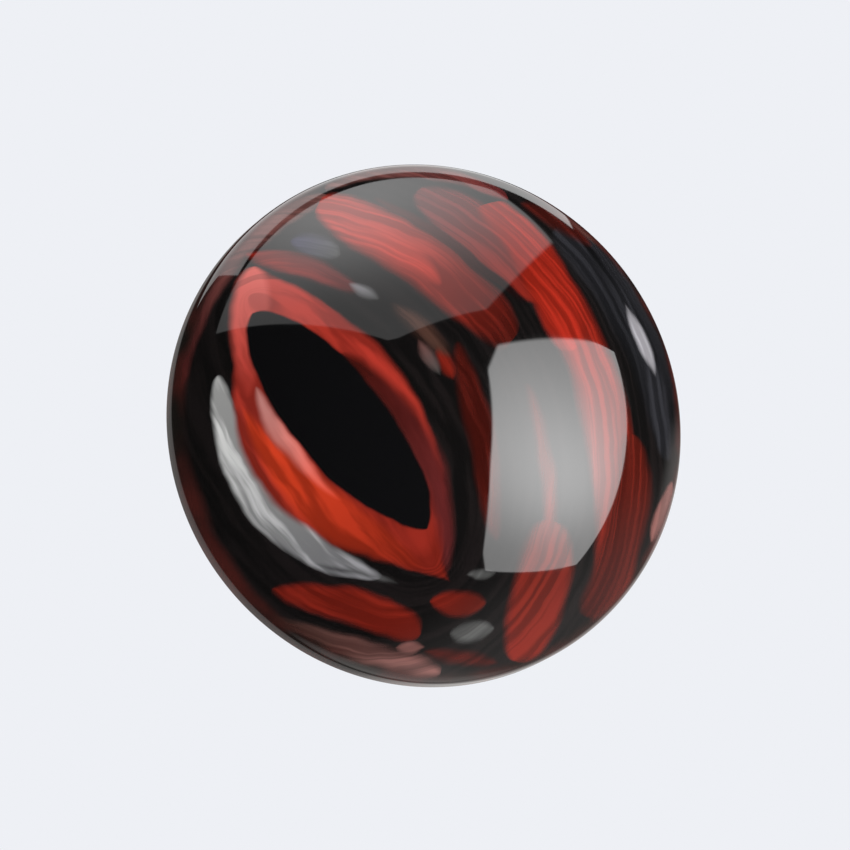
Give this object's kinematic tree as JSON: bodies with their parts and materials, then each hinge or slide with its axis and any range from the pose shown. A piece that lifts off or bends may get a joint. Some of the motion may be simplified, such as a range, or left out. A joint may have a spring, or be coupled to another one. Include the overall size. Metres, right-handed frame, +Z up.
{
  "type": "clip-on earring",
  "caption": "Round domed glossy cabochon of banded black, orange-red and grey glass on an ear clip bent from one strip of sheet metal, with a round pad, a U bend and an oval paddle.",
  "frame": {"origin": "middle of the lobe gap, on the axis of the stone and of the clip's round pad", "axes": "+X to the right seen from the front, +Y from the stone's face through the lobe to the paddle, +Z up as worn, which is the way the lobe leaves the clip"},
  "size_m": [0.025, 0.0156, 0.025],
  "materials": {
    "banded_glass": "fire-polished, opaque, black with orange-red and silver-grey bands",
    "plated_metal": "polished silver-tone plating"
  },
  "bodies": {
    "root": {"cabochon": "banded_glass", "ear_clip": "plated_metal"}
  },
  "joints": []
}
